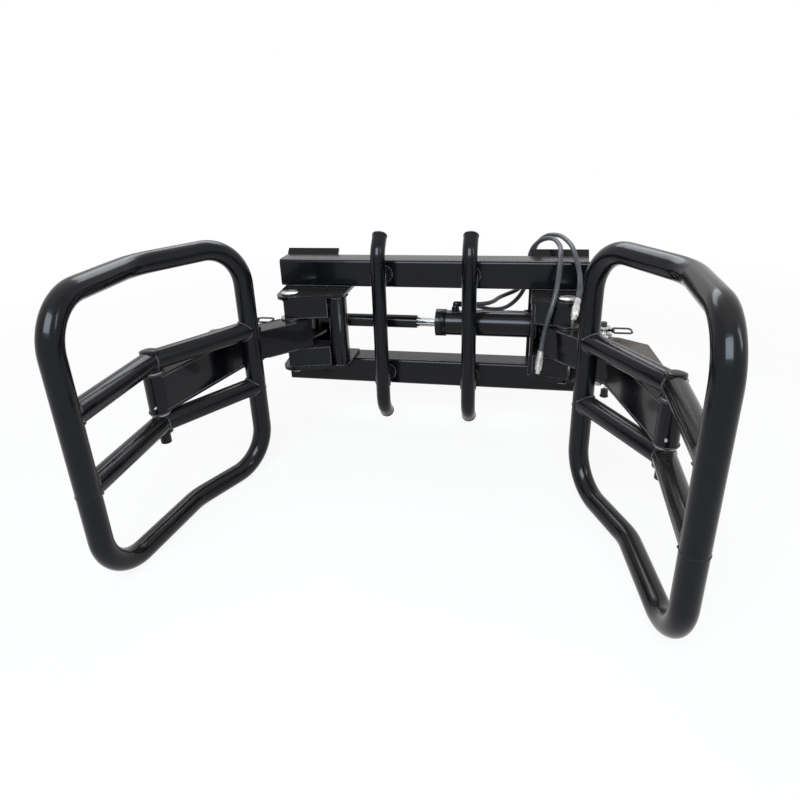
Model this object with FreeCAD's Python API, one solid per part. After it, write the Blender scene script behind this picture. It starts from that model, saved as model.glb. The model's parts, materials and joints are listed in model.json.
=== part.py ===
"""Bale grab for a loader: two swinging arms with swivelling tube hoops on a two-rail frame.

Millimetres. X runs along the rails (right positive), Y runs back towards the loader,
Z is up. The origin is the centre of the hitch: midway between the two half plates,
on their rear faces, at the height of the arms.
"""
import FreeCAD, Part
import math
import os

Vec = FreeCAD.Vector

# Frame rails
rail_size = 100.0
rail_wall = 6.0
rail_corner = 12.0
rail_length = 1100.0
rail_gap = 280.0
end_cap_t = 5.0
end_cap_gap = 0.3

# Hitch half plates on the backs of the rails
hitch_t = 10.0
hitch_width = 200.0
hitch_centre_x = 457.0
hitch_lip = 36.0
hitch_lip_angle = 45.0
hitch_top_above = -12.0
hitch_foot = 62.0
hitch_foot_above = 14.0
slot_width = 26.0
slot_length = 64.0
slot_from_plate = 34.0

# Fender tubes that the bale rests against
fender_od = 51.0
fender_wall = 4.0
fender_x = 157.0
fender_standoff = 90.0
fender_rise = 12.0
fender_bend_r = 80.0
fender_bend = 45.0
fender_tail = 34.0
standoff_od = 60.0
fender_cap_r = 26.5
fender_cap_t = 5.0

# Pivot of an arm and the housing that holds it
pivot_x = 480.0
pivot_front = 105.0
pivot_pin_r = 22.45
pivot_bore_r = 22.5
pivot_head_r = 30.0
pivot_head_t = 8.0
pivot_tail = 12.0
pivot_plate_t = 12.0
pivot_plate_r = 46.0
pivot_plate_slope = 15.0
pivot_plate_back = 70.0
post_side_in = 283.0
web_side_in = 365.0
pivot_plate_out = 535.0
block_inset = 9.0
block_wall = 8.0
block_floor = 10.0
block_depth = 62.0
block_over = 12.0
post_size = 62.0
post_corner = 22.0
web_t = 12.0
web_corner = 3.0
post_inset = 7.0
washer_r = 40.0
washer_t = 2.7
arm_gap = 0.3

# Arm: box beam, crank plates and pivot boss
arm_angle = 43.0
beam_height = 100.0
beam_width = 80.0
beam_wall = 8.0
beam_offset = 25.0
beam_back = 42.0
beam_length = 292.0
crank_t = 10.0
crank_r = 42.0
boss_r = 38.0
boss_bore_r = 25.5
boss_height = 104.0
bush_length = 36.0
lever_back = 42.0
lever_x = 430.0
lever_r = 29.0
lever_pin_r = 15.0
lever_bore_r = 15.05
lever_head_r = 22.0
lever_head_t = 6.0

# Carrier: the adjustable forearm that slides over the beam and ends in the knee tube
sleeve_gap = 1.5
carrier_t = 8.0
wall_at = 196.0
tongue_r = 34.0
lock_at = 172.0
lock_pitch = 60.0
lock_hole_r = 13.0
lock_pin_r = 12.5
lock_boss_r = 23.0
lock_boss_h = 12.0
lock_washer_r = 27.0
lock_washer_t = 4.0
lock_neck = 24.0
lock_collar_r = 21.0
lock_collar_t = 4.0
lock_knob_r = 10.0
lock_knob_h = 14.0
lock_tail = 22.0
kink_x = 706.0
kink_front = 286.0
elbow_x = 718.0
elbow_front = 452.0
inner_bend_at = 236.0
knee_x = 697.0
knee_front = 667.0
knee_tube_r = 30.0
knee_tube_half = 62.0
knee_bore_r = 16.05
knee_pin_r = 16.0
knee_washer_r = 29.0
knee_washer_t = 5.0

# Lynch pin through the neck of the lock pin
lynch_r = 4.0
lynch_hole_r = 4.3
lynch_length = 44.0
lynch_head_r = 8.0
lynch_head_t = 7.0
ring_wire_r = 3.0
ring_reach = 54.0
ring_width = 44.0

# Hoops of bent tube
tube_r = 30.15
tube_wall = 3.6
hoop_width = 670.0
hoop_height = 748.0
hoop_heading = 14.3
hoop_fold_at = 326.0
hoop_fold = 96.0
hoop_low_fold_at = 290.0
hoop_low_fold = 50.0
hoop_corner_r = 128.0
hoop_fold_r = 190.0
hoop_joint_z = -108.0
crossbar_spacing = 196.0
weld_gap = 0.05
knee_boss_r = 26.0
knee_cap_r = 28.0
knee_cap_t = 4.0
knee_pin_tail = 36.0
knee_seat_gap = 0.4

# Hydraulic cylinder between the two cranks
bore_r = 40.0
barrel_r = 46.0
gland_r = 50.0
gland_face = 26.0
gland_length = 38.0
gland_spigot = 8.0
cap_face = 386.0
cap_t = 18.0
eye_r = 28.0
eye_half = 38.0
eye_neck = 20.0
rod_r = 18.0
rod_clear = 0.05
rod_inner_end = 324.0
piston_length = 38.0
piston_clear = 0.05
piston_seat_r = 12.5
bar_r = 24.0
bar_end = -46.0
bar_socket = 16.0

# Ports, transfer pipe and hoses
port_x = 97.0
port_boss_r = 14.0
port_boss_top = 60.0
port_height = 72.0
port_bite = 6.0
elbow_r = 10.0
elbow_reach = 38.0
pipe_start_x = 150.0
cap_port_x = 352.0
pipe_boss_r = 10.0
pipe_boss_top = 56.0
pipe_radial = 51.0
pipe_angle = 45.0
pipe_r = 5.0
pipe_outlet_r = 9.0
pipe_outlet = 28.0
hose_r = 8.0
hose_split_z = 204.0
ferrule_r = 10.5
ferrule_length = 30.0
coupler_r = 12.0
coupler_length = 34.0
coupler_tip_r = 8.5
coupler_tip = 14.0

# Places that follow from the sizes above
front_y = -(hitch_t + rail_size)
rail_top = rail_gap / 2 + rail_size
pivot_y = front_y - pivot_front
lever_y = front_y + lever_back
knee_y = front_y - knee_front
fender_y = front_y - fender_standoff
plate_z = rail_gap / 2 - pivot_plate_t
washer_z = boss_height / 2 + arm_gap
block_z = washer_z + washer_t
sleeve_z = beam_height / 2 + sleeve_gap
carrier_z = sleeve_z + carrier_t
crossbar_z = crossbar_spacing / 2
hoop_z = hoop_height / 2
pivot = Vec(pivot_x, pivot_y, 0)
lever = Vec(lever_x, lever_y, 0)
knee = Vec(knee_x, knee_y, 0)
along = Vec(math.sin(math.radians(arm_angle)), -math.cos(math.radians(arm_angle)), 0)
across = Vec(math.cos(math.radians(arm_angle)), math.sin(math.radians(arm_angle)), 0)
UP = Vec(0, 0, 1)


def save(shape, name):
    """Write one node."""
    shape.exportStep(os.path.join("parts", name + ".step"))


def save_pair(shape, name):
    """Write the right-hand node and its mirror image on the left."""
    save(shape, name + "_right")
    save(shape.mirror(Vec(0, 0, 0), Vec(1, 0, 0)), name + "_left")


def box(x0, x1, y0, y1, z0, z1):
    return Part.makeBox(x1 - x0, y1 - y0, z1 - z0, Vec(x0, y0, z0))


def rod(start, direction, radius, length):
    return Part.makeCylinder(radius, length, start, direction)


def disc(centre, radius, z0, z1):
    """Upright cylinder about a plan point."""
    return Part.makeCylinder(radius, z1 - z0, Vec(centre.x, centre.y, z0), UP)


def ring(centre, outer, inner, z0, z1):
    return disc(centre, outer, z0, z1).cut(disc(centre, inner, z0 - 1, z1 + 1))


def prism(points, z0, z1):
    """Extrude a plan outline; a pair (middle, end) in the list is an arc."""
    edges = []
    here = points[0]
    for item in points[1:] + [points[0]]:
        if isinstance(item, tuple):
            middle, end = item
            edges.append(Part.Arc(here, middle, end).toShape())
        else:
            end = item
            if (end - here).Length > 1e-6:
                edges.append(Part.LineSegment(here, end).toShape())
        here = end
    face = Part.Face(Part.Wire(edges))
    face.translate(Vec(0, 0, z0))
    return face.extrude(Vec(0, 0, z1 - z0))


def both_heights(shape):
    """A piece and its copy mirrored below the arms' mid plane, as two solids."""
    return Part.makeCompound([shape, shape.mirror(Vec(0, 0, 0), UP)])


def arm_point(t, side, z=0.0):
    """A point given along and across the arm beam, measured from the pivot."""
    return pivot + along * t + across * side + Vec(0, 0, z)


def arm_block(t0, t1, s0, s1, z0, z1):
    corners = [arm_point(t0, s0), arm_point(t1, s0), arm_point(t1, s1), arm_point(t0, s1)]
    return prism(corners, z0, z1)


def bent_path(points, radii):
    """Straight runs joined by tangent arcs, as one wire."""
    edges = []
    here = points[0]
    for i in range(1, len(points) - 1):
        before = (points[i - 1] - points[i]).normalize()
        after = (points[i + 1] - points[i]).normalize()
        half = (math.pi - before.getAngle(after)) / 2
        reach = radii[i - 1] * math.tan(half)
        start = points[i] + before * reach
        end = points[i] + after * reach
        inward = (before + after).normalize()
        middle = points[i] + inward * (radii[i - 1] / math.cos(half) - radii[i - 1])
        edges.append(Part.LineSegment(here, start).toShape())
        edges.append(Part.Arc(start, middle, end).toShape())
        here = end
    edges.append(Part.LineSegment(here, points[-1]).toShape())
    return Part.Wire(edges)


def sweep(points, radii, radius):
    """Round bar along a bent path."""
    path = bent_path(points, radii)
    direction = points[1] - points[0]
    profile = Part.Wire(Part.makeCircle(radius, points[0], direction))
    return path.makePipeShell([profile], True, False)


def bent_tube(points, radii, radius, wall):
    return sweep(points, radii, radius).cut(sweep(points, radii, radius - wall))


def hull_of_discs(a, ra, b, rb, z0, z1):
    """Plate with two round ends joined by their outer tangents."""
    d = (b - a).Length
    aim = math.atan2(b.y - a.y, b.x - a.x)
    lean = math.acos((ra - rb) / d)

    def on(c, r, angle):
        return Vec(c.x + r * math.cos(angle), c.y + r * math.sin(angle), 0)

    outline = [on(a, ra, aim + lean), (on(a, ra, aim + math.pi), on(a, ra, aim - lean)),
               on(b, rb, aim - lean), (on(b, rb, aim), on(b, rb, aim + lean))]
    return prism(outline, z0, z1)


# Rails: two square hollow sections with capped ends
def make_rail(z0):
    def section(grow, corner):
        bar = box(-rail_length / 2, rail_length / 2, front_y - grow, front_y + rail_size + grow,
                  z0 - grow, z0 + rail_size + grow)
        long_edges = [e for e in bar.Edges if abs(e.Length - rail_length) < 1e-6]
        return bar.makeFillet(corner, long_edges)
    return section(0, rail_corner).cut(section(-rail_wall, rail_corner - rail_wall))


def make_end_caps():
    caps = []
    inset = rail_wall + end_cap_gap
    for z0 in (rail_gap / 2, -rail_gap / 2 - rail_size):
        for x0 in (-rail_length / 2, rail_length / 2 - end_cap_t):
            cap = box(x0, x0 + end_cap_t, front_y + inset, front_y + rail_size - inset,
                      z0 + inset, z0 + rail_size - inset)
            thin = [e for e in cap.Edges if abs(e.Length - end_cap_t) < 1e-6]
            caps.append(cap.makeFillet(rail_corner - rail_wall, thin))
    return Part.makeCompound(caps)


# Hitch half plate: upright plate, lip leaning back at the top, slotted foot at the bottom
def make_hitch():
    lean = math.radians(hitch_lip_angle)
    top = rail_top + hitch_top_above
    foot = -rail_top + hitch_foot_above
    lip = Vec(0, math.sin(lean), math.cos(lean)) * hitch_lip
    skin = Vec(0, -math.cos(lean), math.sin(lean)) * hitch_t
    x0 = hitch_centre_x - hitch_width / 2
    root_drop = hitch_t * math.tan(lean / 2)
    outline = [Vec(x0, 0, foot), Vec(x0, hitch_foot, foot), Vec(x0, hitch_foot, foot - hitch_t),
               Vec(x0, -hitch_t, foot - hitch_t), Vec(x0, -hitch_t, top),
               Vec(x0, 0, top - root_drop) + lip + skin, Vec(x0, 0, top - root_drop) + lip,
               Vec(x0, 0, top - root_drop)]
    plate = Part.Face(Part.makePolygon(outline + [outline[0]])).extrude(Vec(hitch_width, 0, 0))
    half = slot_length / 2 - slot_width / 2
    left = Vec(hitch_centre_x - half, slot_from_plate, 0)
    right = Vec(hitch_centre_x + half, slot_from_plate, 0)
    return plate.cut(hull_of_discs(left, slot_width / 2, right, slot_width / 2,
                                   foot - 2 * hitch_t, foot + hitch_t))


# Fender tubes: upright bends in front of the rails, on round stand-offs
def fender_points(x):
    lean = math.radians(fender_bend)
    knee_reach = fender_bend_r * math.tan(lean / 2)
    bend_z = rail_top + fender_rise + knee_reach
    tail = knee_reach + fender_tail
    back = tail * math.sin(lean)
    rise = tail * math.cos(lean)
    return [Vec(x, fender_y + back, -bend_z - rise), Vec(x, fender_y, -bend_z),
            Vec(x, fender_y, bend_z), Vec(x, fender_y + back, bend_z + rise)]


def make_fender(x):
    return bent_tube(fender_points(x), [fender_bend_r] * 2, fender_od / 2, fender_wall)


def make_fender_caps():
    caps = []
    for x in (-fender_x, fender_x):
        points = fender_points(x)
        for end, before in ((points[0], points[1]), (points[-1], points[-2])):
            caps.append(rod(end, end - before, fender_cap_r, fender_cap_t))
    return Part.makeCompound(caps)


def make_standoffs():
    stubs = []
    middle = rail_gap / 2 + rail_size / 2
    for x in (-fender_x, fender_x):
        tube = disc(Vec(x, fender_y, 0), fender_od / 2 + weld_gap, -rail_top, rail_top)
        for z in (-middle, middle):
            stub = rod(Vec(x, fender_y, z), Vec(0, 1, 0), standoff_od / 2, fender_standoff)
            behind = box(x - standoff_od, x + standoff_od, fender_y, front_y, -rail_top, rail_top)
            stubs.append(stub.common(behind).cut(tube))
    return Part.makeCompound(stubs)


# Pivot housing: two plates on the rails, two fabricated blocks and an upright at the inner end
def plate_front_y(x, radius):
    """Front edge of the housing, tangent to a circle about the pivot."""
    slope = math.radians(pivot_plate_slope)
    touch_x = pivot_x - radius * math.sin(slope)
    touch_y = pivot_y - radius * math.cos(slope)
    return touch_y + (touch_x - x) * math.tan(slope)


def plate_outline(inner_x):
    slope = math.radians(pivot_plate_slope)

    def rim(angle):
        return pivot + Vec(math.cos(angle), math.sin(angle), 0) * pivot_plate_r

    touch = -math.pi / 2 - slope
    corner = Vec(pivot_plate_out, front_y - pivot_plate_t, 0)
    reach = corner - pivot
    first = math.atan2(reach.y, reach.x) - math.acos(pivot_plate_r / reach.Length)
    back = front_y + pivot_plate_back
    return [Vec(inner_x, back, 0), Vec(pivot_plate_out, back, 0), corner, rim(first),
            (rim((first + touch) / 2), rim(touch)),
            Vec(inner_x, plate_front_y(inner_x, pivot_plate_r), 0)]


def make_pivot_plates(inner_x):
    plate = prism(plate_outline(inner_x), plate_z, plate_z + pivot_plate_t)
    return both_heights(plate.cut(disc(pivot, pivot_bore_r, plate_z - 1, rail_gap / 2 + 1)))


def make_post(inner_x, width, corner):
    """Upright between the plates at their inner end: a square post, or a web plate."""
    front = plate_front_y(inner_x + width, pivot_plate_r) + post_inset
    post = box(inner_x, inner_x + width, front, front + post_size, -plate_z, plate_z)
    upright = [e for e in post.Edges if abs(e.Length - 2 * plate_z) < 1e-6]
    return post.makeFillet(corner, upright)


def make_blocks(inner_x):
    outer_x = pivot_x + block_over
    radius = pivot_plate_r - block_inset
    back = pivot_y + block_depth

    def shell(inset, z0, z1):
        x0 = inner_x
        x1 = outer_x - inset
        outline = [Vec(x0, back - inset, 0), Vec(x1, back - inset, 0),
                   Vec(x1, plate_front_y(x1, radius) + inset, 0),
                   Vec(x0, plate_front_y(x0, radius) + inset, 0)]
        return prism(outline, z0, z1)

    block = shell(0, block_z, plate_z).cut(shell(block_wall, block_z + block_floor, plate_z + 1))
    return both_heights(block.cut(disc(pivot, pivot_bore_r, block_z - 1, plate_z)))


def make_pivot_pin():
    top = rail_gap / 2
    shaft = disc(pivot, pivot_pin_r, -top - pivot_tail, top)
    head = disc(pivot, pivot_head_r, top, top + pivot_head_t)
    rim = [e for e in head.Edges if e.Vertexes[0].Point.z > top + 1 and e.Length > pivot_head_r]
    return shaft.fuse(head.makeChamfer(pivot_head_t / 4, rim)).removeSplitter()


def make_pivot_washers():
    return both_heights(ring(pivot, washer_r, pivot_bore_r, washer_z, block_z))


# Arm weldment: hollow box beam with crank plates carried back to the cylinder pin
def make_beam():
    half = beam_width / 2
    s0 = -beam_offset - half
    s1 = -beam_offset + half
    top = beam_height / 2
    beam = arm_block(-beam_back, beam_length, s0, s1, -top, top)
    room = arm_block(-beam_back + beam_wall, beam_length + 1, s0 + beam_wall, s1 - beam_wall,
                     -top + beam_wall, top - beam_wall)
    beam = beam.cut(room)
    crank = hull_of_discs(pivot, crank_r, lever, lever_r, top - crank_t, top)
    beam = beam.fuse([crank, crank.mirror(Vec(0, 0, 0), UP)]).removeSplitter()
    holes = [disc(pivot, boss_r, -top - 1, top + 1), disc(lever, lever_bore_r, -top - 1, top + 1)]
    for i in range(2):
        holes.append(disc(arm_point(lock_at + i * lock_pitch, -beam_offset), lock_hole_r,
                          -top - 1, top + 1))
    for hole in holes:
        beam = beam.cut(hole)
    return beam


def make_boss():
    return ring(pivot, boss_r, boss_bore_r, -boss_height / 2, boss_height / 2)


def make_bushes():
    top = boss_height / 2
    return both_heights(ring(pivot, boss_bore_r, pivot_bore_r, top - bush_length, top))


def make_lever_pin():
    top = beam_height / 2
    pin = disc(lever, lever_pin_r, -top - lever_head_t, top)
    return pin.fuse(disc(lever, lever_head_r, top, top + lever_head_t)).removeSplitter()


# Carrier: elbow of two plates and two walls round the beam, ending in the knee tube
def carrier_sides():
    inner = -beam_offset - beam_width / 2 - sleeve_gap
    outer = -beam_offset + beam_width / 2 + sleeve_gap
    return inner, outer


def tangent_from(point, centre, radius, side):
    """Where the line from a point touches a circle, on the chosen side."""
    reach = centre - point
    swing = math.asin(radius / reach.Length) * side
    length = math.sqrt(reach.Length ** 2 - radius ** 2)
    aim = math.atan2(reach.y, reach.x) + swing
    return point + Vec(math.cos(aim), math.sin(aim), 0) * length


def carrier_corners(inset):
    """Inner bend, kink and elbow of the carrier in plan, moved in by an inset."""
    inner, outer = carrier_sides()
    bend = arm_point(inner_bend_at, inner - carrier_t + inset)
    kink = Vec(kink_x - inset, front_y - kink_front, 0)
    elbow = Vec(elbow_x - inset, front_y - elbow_front, 0)
    return bend, kink, elbow


def make_carrier_plates():
    inner, outer = carrier_sides()
    bend, kink, elbow = carrier_corners(0)
    lock = arm_point(lock_at, -beam_offset)
    nose = arm_point(lock_at - tongue_r, -beam_offset)
    root_in = arm_point(lock_at, -beam_offset - tongue_r)
    root_out = arm_point(lock_at, -beam_offset + tongue_r)
    knee_end = knee + (knee - bend).normalize() * knee_tube_r
    outline = [root_out, arm_point(wall_at, outer + carrier_t), kink, elbow,
               tangent_from(elbow, knee, knee_tube_r, 1),
               (knee_end, tangent_from(bend, knee, knee_tube_r, -1)),
               bend, arm_point(wall_at, inner - carrier_t), root_in, (nose, root_out)]
    plate = prism(outline, sleeve_z, carrier_z)
    boss = disc(lock, lock_boss_r, carrier_z, carrier_z + lock_boss_h)
    plate = plate.fuse(boss).removeSplitter()
    plate = plate.cut(disc(lock, lock_hole_r, sleeve_z - 1, carrier_z + lock_boss_h + 1))
    return both_heights(plate.cut(disc(knee, knee_tube_r, sleeve_z - 1, carrier_z + 1)))


def make_carrier_walls():
    inner, outer = carrier_sides()
    skin = [carrier_corners(0), carrier_corners(carrier_t)]
    core_r = knee_tube_r - carrier_t
    inside = [arm_point(wall_at, inner - carrier_t), skin[0][0],
              tangent_from(skin[0][0], knee, knee_tube_r, -1),
              tangent_from(skin[1][0], knee, core_r, -1), skin[1][0], arm_point(wall_at, inner)]
    outside = [arm_point(wall_at, outer + carrier_t), skin[0][1], skin[0][2],
               tangent_from(skin[0][2], knee, knee_tube_r, 1),
               tangent_from(skin[1][2], knee, core_r, 1), skin[1][2], skin[1][1],
               arm_point(wall_at, outer)]
    tube = disc(knee, knee_tube_r, -carrier_z, carrier_z)
    walls = [prism(outline, -sleeve_z, sleeve_z).cut(tube) for outline in (inside, outside)]
    return Part.makeCompound(walls)


def make_knee_tube():
    return ring(knee, knee_tube_r, knee_bore_r, -knee_tube_half, knee_tube_half)


# Lock pin dropped through the carrier and the beam, with its lynch pin
def make_lock_pin():
    lock = arm_point(lock_at, -beam_offset)
    seat = carrier_z + lock_boss_h
    neck = seat + lock_washer_t + lock_neck
    pin = disc(lock, lock_pin_r, -seat - lock_tail, neck)
    pin = pin.fuse([disc(lock, lock_washer_r, seat, seat + lock_washer_t),
                    disc(lock, lock_collar_r, neck - lock_collar_t, neck),
                    disc(lock, lock_knob_r, neck, neck + lock_knob_h)]).removeSplitter()
    cross = lock + Vec(-lynch_length, 0, lynch_z())
    return pin.cut(rod(cross, Vec(1, 0, 0), lynch_hole_r, 2 * lynch_length))


def lynch_z():
    return carrier_z + lock_boss_h + lock_washer_t + lock_neck / 2


def make_lynch_pin(side):
    """Pin, head and wire bail; the bail points to +X on both arms."""
    lock = arm_point(lock_at, -beam_offset)
    base = Vec(side * lock.x, lock.y, lynch_z())
    x0 = -lynch_length / 2 + lynch_head_t / 2
    shaft = rod(base + Vec(x0, 0, 0), Vec(1, 0, 0), lynch_r, lynch_length)
    head_x = x0 + lynch_length
    head = rod(base + Vec(head_x, 0, 0), Vec(1, 0, 0), lynch_head_r, lynch_head_t)
    pin = shaft.fuse(head).removeSplitter()
    hinge_x = head_x + lynch_head_t / 2
    half = ring_width / 2
    near = lynch_head_r + knee_seat_gap / 2
    bail = [Vec(hinge_x, near, 0), Vec(hinge_x, half, 0), Vec(hinge_x + ring_reach, half, 0),
            Vec(hinge_x + ring_reach, -half, 0), Vec(hinge_x, -half, 0), Vec(hinge_x, -near, 0)]
    corner = 2 * ring_wire_r
    wire = sweep([base + p for p in bail], [corner, 2 * corner, 2 * corner, corner], ring_wire_r)
    return Part.makeCompound([pin, wire])


# Hoops: two bends of tube butt-welded on the legs, and two mitred crossbars
def hoop_point(u, out, z):
    """Point of the right hoop: u forward along it, out away from the bale."""
    heading = math.radians(hoop_heading)
    forward = Vec(math.sin(heading), -math.cos(heading), 0)
    outboard = Vec(math.cos(heading), math.sin(heading), 0)
    inner_leg = knee - forward * hoop_fold_at - outboard * hoop_fold
    return inner_leg + forward * u + outboard * out + Vec(0, 0, z)


def make_hoop_bend(level, fold_at, fold):
    points = [hoop_point(0, 0, hoop_joint_z), hoop_point(0, 0, level),
              hoop_point(fold_at, fold, level), hoop_point(hoop_width, 0, level),
              hoop_point(hoop_width, 0, hoop_joint_z)]
    return bent_tube(points, [hoop_corner_r, hoop_fold_r, hoop_corner_r], tube_r, tube_wall)


def make_crossbars(z):
    """Two tubes that meet in a mitre on the boss of the knee pin."""
    reach = hoop_width
    bars = []
    ends = [hoop_point(0, 0, 0), hoop_point(hoop_width, 0, 0)]
    to_ends = [(end - knee).normalize() for end in ends]
    inward = (to_ends[0] + to_ends[1]).normalize()
    for end, aim in zip(ends, to_ends):
        away = (aim - inward * aim.dot(inward)).normalize()
        keep = prism([knee + inward * reach, knee - inward * reach,
                      knee - inward * reach + away * reach, knee + inward * reach + away * reach],
                     z - tube_r - 1, z + tube_r + 1)
        start = end + Vec(0, 0, z)
        length = (knee - end).Length + 2 * tube_r
        bar = rod(start, aim * -1, tube_r, length).cut(rod(start, aim * -1, tube_r - tube_wall, length))
        bar = bar.common(keep)
        bar = bar.cut(disc(end, tube_r + weld_gap, z - 2 * tube_r, z + 2 * tube_r))
        bars.append(bar.cut(disc(knee, knee_boss_r + weld_gap, z - 2 * tube_r, z + 2 * tube_r)))
    boss = ring(knee, knee_boss_r, knee_pin_r + knee_seat_gap, z - tube_r, z + tube_r)
    return Part.makeCompound(bars + [boss])


def make_knee_pin():
    top = crossbar_z + tube_r
    pin = disc(knee, knee_pin_r, -top - knee_pin_tail, top)
    return pin.fuse(disc(knee, knee_cap_r, top, top + knee_cap_t)).removeSplitter()


def make_knee_washers():
    z0 = knee_tube_half + knee_seat_gap
    return both_heights(ring(knee, knee_washer_r, knee_pin_r + knee_seat_gap, z0,
                             z0 + knee_washer_t))


# Cylinder: barrel and gland on the right crank, piston, rod and bar on the left crank
def axis_rod(x0, x1, radius):
    return rod(Vec(x0, lever_y, 0), Vec(1, 0, 0), radius, x1 - x0)


def cylinder_eye(x, root_x):
    """Eye that turns on the crank pin, with the neck that joins it to the cylinder."""
    centre = Vec(x, lever_y, 0)
    eye = disc(centre, eye_r, -eye_half, eye_half)
    neck = box(min(x, root_x), max(x, root_x), lever_y - eye_neck, lever_y + eye_neck,
               -eye_half, eye_half)
    return eye.fuse(neck), disc(centre, lever_bore_r, -eye_half - 1, eye_half + 1)


def make_barrel():
    seat = gland_face + gland_length
    tube = axis_rod(seat, cap_face, barrel_r).cut(axis_rod(seat - 1, cap_face - cap_t, bore_r))
    eye, hole = cylinder_eye(lever_x, cap_face - cap_t / 2)
    barrel = tube.fuse(eye.cut(axis_rod(seat, cap_face - cap_t, barrel_r)))
    return barrel.removeSplitter().cut(hole)


def make_gland():
    seat = gland_face + gland_length
    body = axis_rod(gland_face, seat, gland_r)
    body = body.fuse(axis_rod(seat, seat + gland_spigot, bore_r - piston_clear))
    return body.removeSplitter().cut(axis_rod(gland_face - 1, seat + gland_spigot + 1,
                                              rod_r + rod_clear))


def make_piston():
    x0 = rod_inner_end - piston_length
    return axis_rod(x0, rod_inner_end, bore_r - piston_clear).cut(
        axis_rod(x0 - 1, rod_inner_end + 1, piston_seat_r))


def make_rod():
    shoulder = rod_inner_end - piston_length
    shaft = axis_rod(bar_end - bar_socket, shoulder, rod_r)
    return shaft.fuse(axis_rod(shoulder, rod_inner_end, piston_seat_r)).removeSplitter()


def make_rod_bar():
    eye, hole = cylinder_eye(-lever_x, -cap_face)
    bar = axis_rod(-lever_x, bar_end, bar_r).fuse(eye).removeSplitter()
    bar = bar.cut(axis_rod(bar_end - bar_socket, bar_end + 1, rod_r))
    return bar.cut(hole)


# Ports on the barrel, and the steel pipe from the cap end to the gland end
def pipe_point(x, radial):
    angle = math.radians(pipe_angle)
    return Vec(x, lever_y + radial * math.cos(angle), radial * math.sin(angle))


def make_port_fittings():
    core = axis_rod(gland_face, cap_face, barrel_r)
    port = Vec(port_x, lever_y, 0)
    corner = port + Vec(0, 0, port_height)
    fitting = disc(port, port_boss_r, barrel_r - port_bite, port_boss_top)
    fitting = fitting.fuse([disc(port, elbow_r, port_boss_top, port_height),
                            Part.makeSphere(elbow_r, corner),
                            rod(corner, Vec(1, 0, 0), elbow_r, elbow_reach)])
    pieces = [fitting.removeSplitter().cut(core)]
    radial = pipe_point(0, 1) - pipe_point(0, 0)
    for x in (pipe_start_x, cap_port_x):
        boss = rod(pipe_point(x, barrel_r - port_bite), radial, pipe_boss_r,
                   pipe_boss_top - barrel_r + port_bite)
        if x == pipe_start_x:
            boss = boss.fuse(rod(pipe_point(x, pipe_radial), Vec(0, 1, 0), pipe_outlet_r,
                                 pipe_outlet)).removeSplitter()
        pieces.append(boss.cut(core))
    pipe = rod(pipe_point(pipe_start_x, pipe_radial), Vec(1, 0, 0), pipe_r,
               cap_port_x - pipe_start_x)
    for boss in pieces[1:]:
        pipe = pipe.cut(boss)
    inner = [s for s in pipe.Solids if s.Volume > pipe_r ** 3]
    return Part.makeCompound(pieces + inner)


# Hoses: feeds from the ports to the back of the top rail, then over it and down in front
def cord(points, radius, name):
    """Straight runs with the largest tangent arcs that they allow."""
    radii = []
    for i in range(1, len(points) - 1):
        before = (points[i] - points[i - 1])
        after = (points[i + 1] - points[i])
        run = min(before.Length, after.Length)
        radii.append(0.45 * run / math.tan(before.getAngle(after) / 2))
    tube = sweep(points, radii, radius)
    length = bent_path(points, radii).Length
    print(name, "radii", [round(r) for r in radii], "length", round(length),
          "volume ratio", round(tube.Volume / (math.pi * radius ** 2 * length), 4))
    return tube


feed_a = [Vec(port_x + elbow_reach, lever_y, port_height), Vec(172, lever_y, port_height),
          Vec(210, -50, 71), Vec(234, -16, 70), Vec(247, 24, 72), Vec(279, 54, 78), Vec(318, 60, 94),
          Vec(344, 60, 128), Vec(354, 58, 166), Vec(354, 58, hose_split_z)]
outlet_b = pipe_point(pipe_start_x, pipe_radial) + Vec(0, pipe_outlet, 0)
feed_b = [outlet_b, outlet_b + Vec(0, 44, 0), Vec(176, 66, 22), Vec(222, 76, 8), Vec(272, 78, 16),
          Vec(316, 78, 50), Vec(344, 78, 98), Vec(366, 82, 150), Vec(366, 82, hose_split_z)]
over_a = [feed_a[-1], Vec(354, 58, 258), Vec(390, 50, 302), Vec(432, 10, 316), Vec(450, -52, 308),
          Vec(453, -118, 284), Vec(450, -180, 242), Vec(442, -236, 192), Vec(430, -270, 138),
          Vec(416, -278, 86), Vec(406, -280, 34), Vec(401, -288, -14)]
over_b = [feed_b[-1], Vec(366, 82, 262), Vec(404, 74, 308), Vec(452, 30, 326), Vec(476, -34, 318),
          Vec(492, -104, 290), Vec(506, -168, 246), Vec(515, -226, 202), Vec(504, -276, 160)]


def make_coupler(end, before):
    """Crimped ferrule and push-in coupler on a hose end."""
    aim = (end - before).normalize()
    tail = end + aim * ferrule_length
    nose = tail + aim * coupler_length
    coupler = rod(end, aim, ferrule_r, ferrule_length)
    return coupler.fuse([rod(tail, aim, coupler_r, coupler_length),
                         rod(nose, aim, coupler_tip_r, coupler_tip)]).removeSplitter()


os.makedirs("parts", exist_ok=True)

save(make_rail(rail_gap / 2), "top_rail")
save(make_rail(-rail_gap / 2 - rail_size), "bottom_rail")
save(make_end_caps(), "rail_end_caps")
save_pair(make_hitch(), "hitch_plate")
save_pair(make_fender(fender_x), "fender_tube")
save(make_fender_caps(), "fender_caps")
save(make_standoffs(), "fender_standoffs")

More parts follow.
